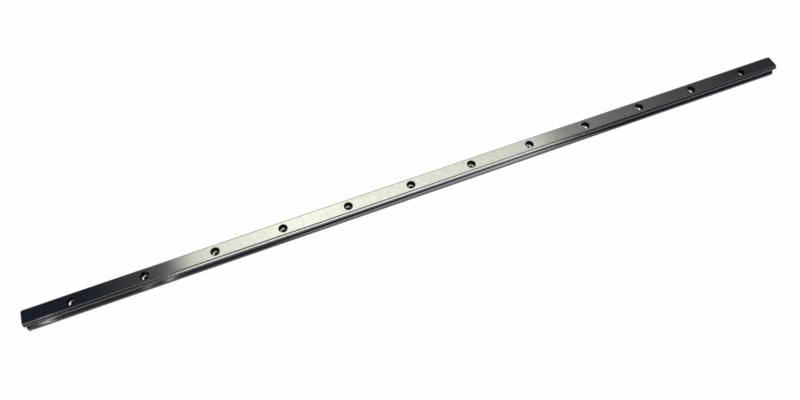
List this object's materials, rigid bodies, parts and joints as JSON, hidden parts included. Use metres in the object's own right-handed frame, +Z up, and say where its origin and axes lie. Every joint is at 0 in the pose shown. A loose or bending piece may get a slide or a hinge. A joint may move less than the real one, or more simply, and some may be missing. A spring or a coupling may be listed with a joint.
{
  "type": "linear guide rail",
  "caption": "Straight ground-steel profile rail with side raceways, an undercut head and a row of counterbored screw holes along its top.",
  "frame": {"origin": "middle of the flat seating face on the underside of the rail", "axes": "+X along the rail's length, +Y across it, +Z up from the seating face to the top face"},
  "size_m": [0.738, 0.015, 0.0125],
  "materials": {
    "rail_steel": "fine-ground hardened bearing steel, bright, with grinding marks along the rail"
  },
  "bodies": {
    "root": {"guide_rail": "rail_steel"}
  },
  "joints": []
}
